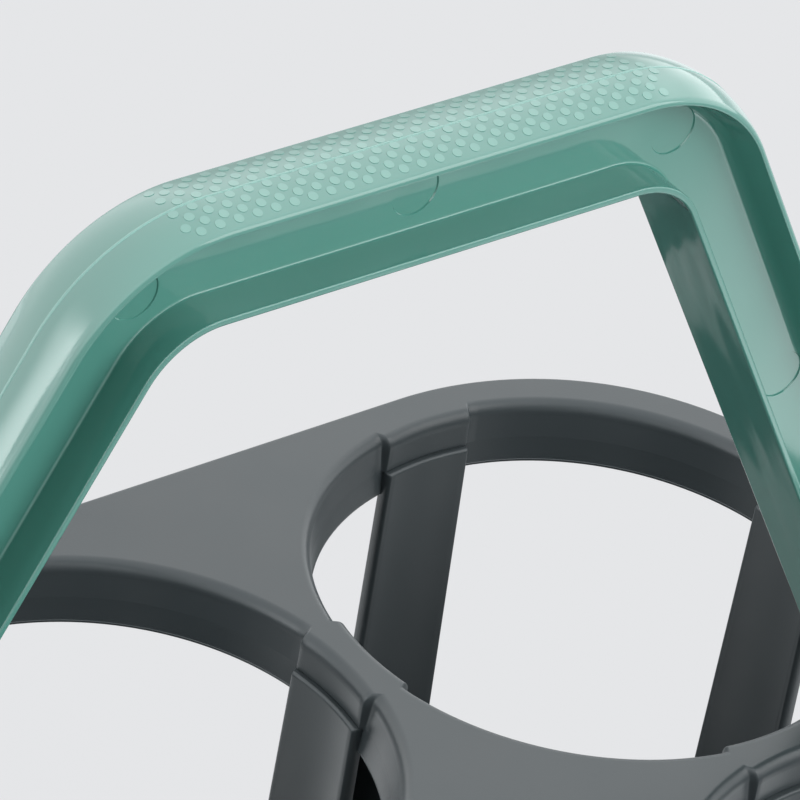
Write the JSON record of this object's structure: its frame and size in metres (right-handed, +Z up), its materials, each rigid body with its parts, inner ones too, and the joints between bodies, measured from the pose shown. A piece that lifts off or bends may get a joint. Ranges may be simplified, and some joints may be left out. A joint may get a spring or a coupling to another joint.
{
  "type": "six pack carrier",
  "caption": "Open moulded crate for carrying round bottles upright: ringed top plate on straps over a low tray, with a swinging bail handle.",
  "frame": {"origin": "centre of the footprint, on the surface the carrier stands on", "axes": "+X along the row of three bottles, towards the right of the picture; +Y away from the camera's side, across the two rows; +Z up"},
  "size_m": [0.31, 0.21, 0.3317],
  "materials": {
    "body_plastic": "satin",
    "handle_plastic": "satin",
    "pin_plastic": "satin"
  },
  "bodies": {
    "carrier": {"top_plate": "body_plastic", "collar_back_left": "body_plastic", "collar_back_middle": "body_plastic", "collar_back_right": "body_plastic", "collar_front_left": "body_plastic", "collar_front_middle": "body_plastic", "collar_front_right": "body_plastic", "strap_back_left": "body_plastic", "strap_back_middle": "body_plastic", "strap_back_right": "body_plastic", "strap_front_left": "body_plastic", "strap_front_middle": "body_plastic", "strap_front_right": "body_plastic", "strap_left_back": "body_plastic", "strap_left_front": "body_plastic", "strap_right_back": "body_plastic", "strap_right_front": "body_plastic", "neck_strap_back_left": "body_plastic", "neck_strap_back_right": "body_plastic", "neck_strap_front_left": "body_plastic", "neck_strap_front_right": "body_plastic", "cross_strap_left": "body_plastic", "cross_strap_middle": "body_plastic", "cross_strap_right": "body_plastic", "base_tray": "body_plastic", "cup_back_left": "body_plastic", "cup_back_middle": "body_plastic", "cup_back_right": "body_plastic", "cup_front_left": "body_plastic", "cup_front_middle": "body_plastic", "cup_front_right": "body_plastic", "hinge_ear_left": "body_plastic", "hinge_ear_right": "body_plastic", "pivot_pin_left": "pin_plastic", "pivot_pin_right": "pin_plastic"},
    "bail": {"handle": "handle_plastic"}
  },
  "joints": [
    {"name": "handle_swing", "type": "hinge", "parent": "carrier", "child": "bail", "pos_m": [0, 0, 0.1936], "axis": [1, 0, 0], "range_deg": [-90, 90]}
  ]
}
